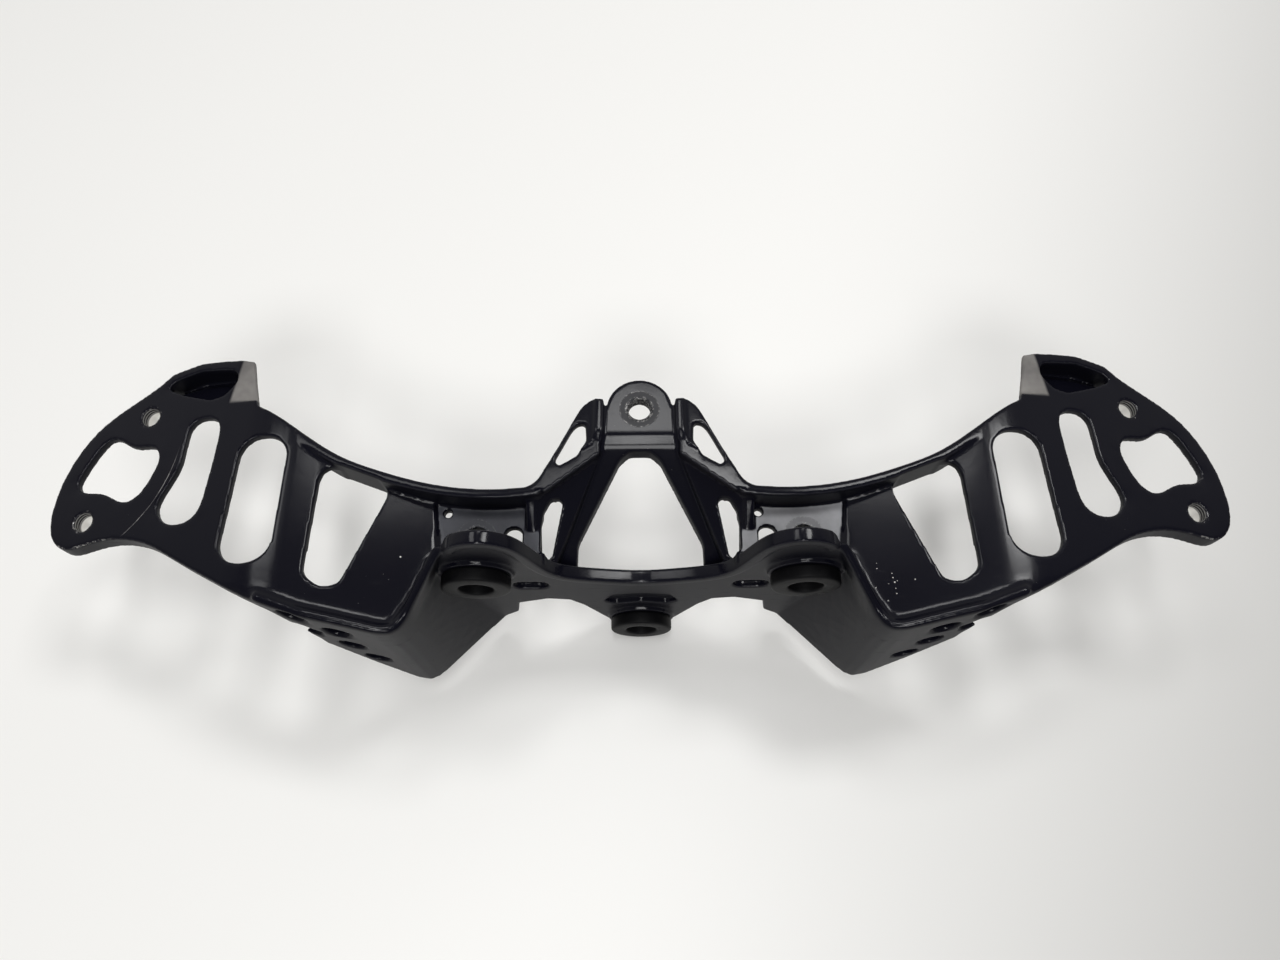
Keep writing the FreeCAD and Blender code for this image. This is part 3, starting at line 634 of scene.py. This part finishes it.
def grommet(side):
    low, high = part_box("grommet_" + side)
    x = (low.x + high.x) / 2
    z = (low.z + high.z) / 2
    build = bmesh.new()
    rings = []
    for step in range(GROMMET_TURNS):
        angle = 2 * math.pi * step / GROMMET_TURNS
        ring = []
        for radius, along in GROMMET_PROFILE:
            reach = radius * MM
            spot = (x + reach * math.cos(angle), high.y - along * MM, z + reach * math.sin(angle))
            ring.append(build.verts.new(spot))
        rings.append(ring)
    count = len(GROMMET_PROFILE)
    for step in range(GROMMET_TURNS):
        here, there = rings[step], rings[(step + 1) % GROMMET_TURNS]
        for k in range(count):
            build.faces.new((here[k], here[(k + 1) % count], there[(k + 1) % count], there[k]))
    bmesh.ops.recalc_face_normals(build, faces=build.faces)
    mesh = bpy.data.meshes.new("rubber_" + side)
    build.to_mesh(mesh)
    build.free()
    mesh.shade_smooth()
    return link(bpy.data.objects.new("rubber_" + side, mesh))


casting = casting_skin()
casting.data.materials.append(paint())
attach(casting, "root")
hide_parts("stay_casting")

rubber_material = rubber()
for side in ("left", "right", "centre"):
    piece = grommet(side)
    piece.data.materials.append(rubber_material)
    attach(piece, "root")
    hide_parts("grommet_" + side)

# Floor under the lowest point, with painted shade: darker towards the right and the front, where the light
# falls off.
FLOOR_HALF = 4.0
FLOOR_GAP = 0.2 * MM
FLOOR_TONES = (0.80, 0.795, 0.775), (0.84, 0.835, 0.815)
FLOOR_PAINTED_SHADE = (0.32, 0.317, 0.309)
FLOOR_TURN = -0.45
FLOOR_SHADE_FADE = (-0.02, 0.60)
FLOOR_ROUGH = 0.45
FLOOR_GLOW = 0.03
GLOW_COLOUR = (1.0, 0.995, 0.975, 1.0)


def floor_material():
    n = Nodes("floor_white")
    tone = n.mix(n.noise(1.6, 2.0), *FLOOR_TONES)
    shade_corner = n.math("MULTIPLY_ADD", n.y, FLOOR_TURN, n.x)
    # Painted shade: the floor darkens towards the right and the front.
    n.join(n.mix(n.ramp(shade_corner, *FLOOR_SHADE_FADE), tone, FLOOR_PAINTED_SHADE), n.shader.inputs["Base Color"])
    n.shader.inputs["Roughness"].default_value = FLOOR_ROUGH
    path = n.tree.nodes.new("ShaderNodeLightPath")
    seen = n.greatest(path.outputs["Is Camera Ray"], path.outputs["Is Glossy Ray"],
                      path.outputs["Is Transmission Ray"])
    glow = n.tree.nodes.new("ShaderNodeEmission")
    glow.inputs["Color"].default_value = GLOW_COLOUR
    n.join(n.product(seen, FLOOR_GLOW), glow.inputs["Strength"])
    both = n.tree.nodes.new("ShaderNodeAddShader")
    n.join(n.shader.outputs[0], both.inputs[0])
    n.join(glow.outputs[0], both.inputs[1])
    n.join(both.outputs[0], n.out.inputs["Surface"])
    return n.material


corners = [(x * FLOOR_HALF, y * FLOOR_HALF, 0.0) for x, y in ((-1, -1), (1, -1), (1, 1), (-1, 1))]
floor_mesh = bpy.data.meshes.new("floor")
floor_mesh.from_pydata(corners, [], [(0, 1, 2, 3)])
floor = link(bpy.data.objects.new("floor", floor_mesh))
floor.location.z = cad_low.z - FLOOR_GAP
floor.data.materials.append(floor_material())

# Soft studio light: a dim ceiling, a pale band behind, a little paler to the left, and dim in front.
SKY_COLOUR = (1.0, 0.99, 0.975, 1.0)
SKY_LEVEL = 0.15
BAND_LEVEL = 0.4
LEFT_LEVEL = 0.2
CEILING_EDGE = (0.90, 0.76)
BEHIND_EDGE = (0.16, 0.42)
LEFT_EDGE = (-0.3, -0.8)
world = bpy.data.worlds.new("studio")
world.use_nodes = True
scene.world = world
tree = world.node_tree
sky = tree.nodes["Background"]
sky.inputs["Color"].default_value = SKY_COLOUR
way = tree.nodes.new("ShaderNodeTexCoord")
directions = tree.nodes.new("ShaderNodeSeparateXYZ")
tree.links.new(way.outputs["Generated"], directions.inputs[0])


def sky_ramp(axis, low, high):
    node = tree.nodes.new("ShaderNodeMapRange")
    node.interpolation_type = "SMOOTHSTEP"
    tree.links.new(directions.outputs[axis], node.inputs["Value"])
    node.inputs["From Min"].default_value = low
    node.inputs["From Max"].default_value = high
    return node.outputs["Result"]


def sky_math(operation, a, b):
    node = tree.nodes.new("ShaderNodeMath")
    node.operation = operation
    for value, socket in zip((a, b), node.inputs):
        if isinstance(value, float):
            socket.default_value = value
        else:
            tree.links.new(value, socket)
    return node.outputs[0]


below_ceiling = sky_ramp("Z", *CEILING_EDGE)
behind = sky_ramp("Y", *BEHIND_EDGE)
leftward = sky_ramp("X", *LEFT_EDGE)
band = sky_math("MULTIPLY", sky_math("MULTIPLY", below_ceiling, behind), BAND_LEVEL)
left_wall = sky_math("MULTIPLY", sky_math("MULTIPLY", below_ceiling, leftward), LEFT_LEVEL)
level = sky_math("ADD", sky_math("ADD", band, left_wall), SKY_LEVEL)
tree.links.new(level, sky.inputs["Strength"])

# Softboxes: name, place, the point each faces, width, length and power.
SOFTBOXES = [
    ("back_box", (0.0, 0.745, 1.5), (0.0, 0.745, 0.0), 0.28, 0.26, 3.1),
    ("right_box", (0.58, 0.57, 1.5), (0.58, 0.57, 0.0), 0.44, 0.30, 8.0),
    ("left_box", (-0.58, 0.57, 1.5), (-0.58, 0.57, 0.0), 0.44, 0.30, 2.6),
    ("front_box", (0.0, -1.3, 1.6), (0.0, 0.0, 0.0), 0.8, 0.5, 14.5),
    ("top_box", (0.0, -0.30, 1.5), (0.0, -0.30, 0.0), 0.14, 0.90, 7.0),
]
for name, place, target, wide, tall, power in SOFTBOXES:
    data = bpy.data.lights.new(name, "AREA")
    data.shape = "RECTANGLE"
    data.size = wide
    data.size_y = tall
    data.energy = power
    lamp = link(bpy.data.objects.new(name, data))
    lamp.location = place
    lamp.rotation_euler = (Vector(target) - Vector(place)).to_track_quat("-Z", "Y").to_euler()

# Camera of the photograph: its width and focal length in pixels, and its place in millimetres.
PHOTO_WIDE = 1280.0
PHOTO_FOCAL = 961.0
SENSOR = 36.0
CAMERA_PLACE = (0.0, -126.9, 366.3)
LOOK_DOWN = math.radians(67.5)
ROLL = math.radians(-0.5)
camera_data = bpy.data.cameras.new("camera")
camera_data.sensor_width = SENSOR
camera_data.lens = PHOTO_FOCAL * SENSOR / PHOTO_WIDE
camera_data.clip_start = 0.01
camera = link(bpy.data.objects.new("camera", camera_data))
camera.location = scaled(CAMERA_PLACE)
aim = Euler((math.pi / 2 - LOOK_DOWN, 0, 0)).to_matrix() @ Matrix.Rotation(ROLL, 3, "Z")
camera.rotation_euler = aim.to_euler()
scene.camera = camera

scene.view_settings.view_transform = "Standard"
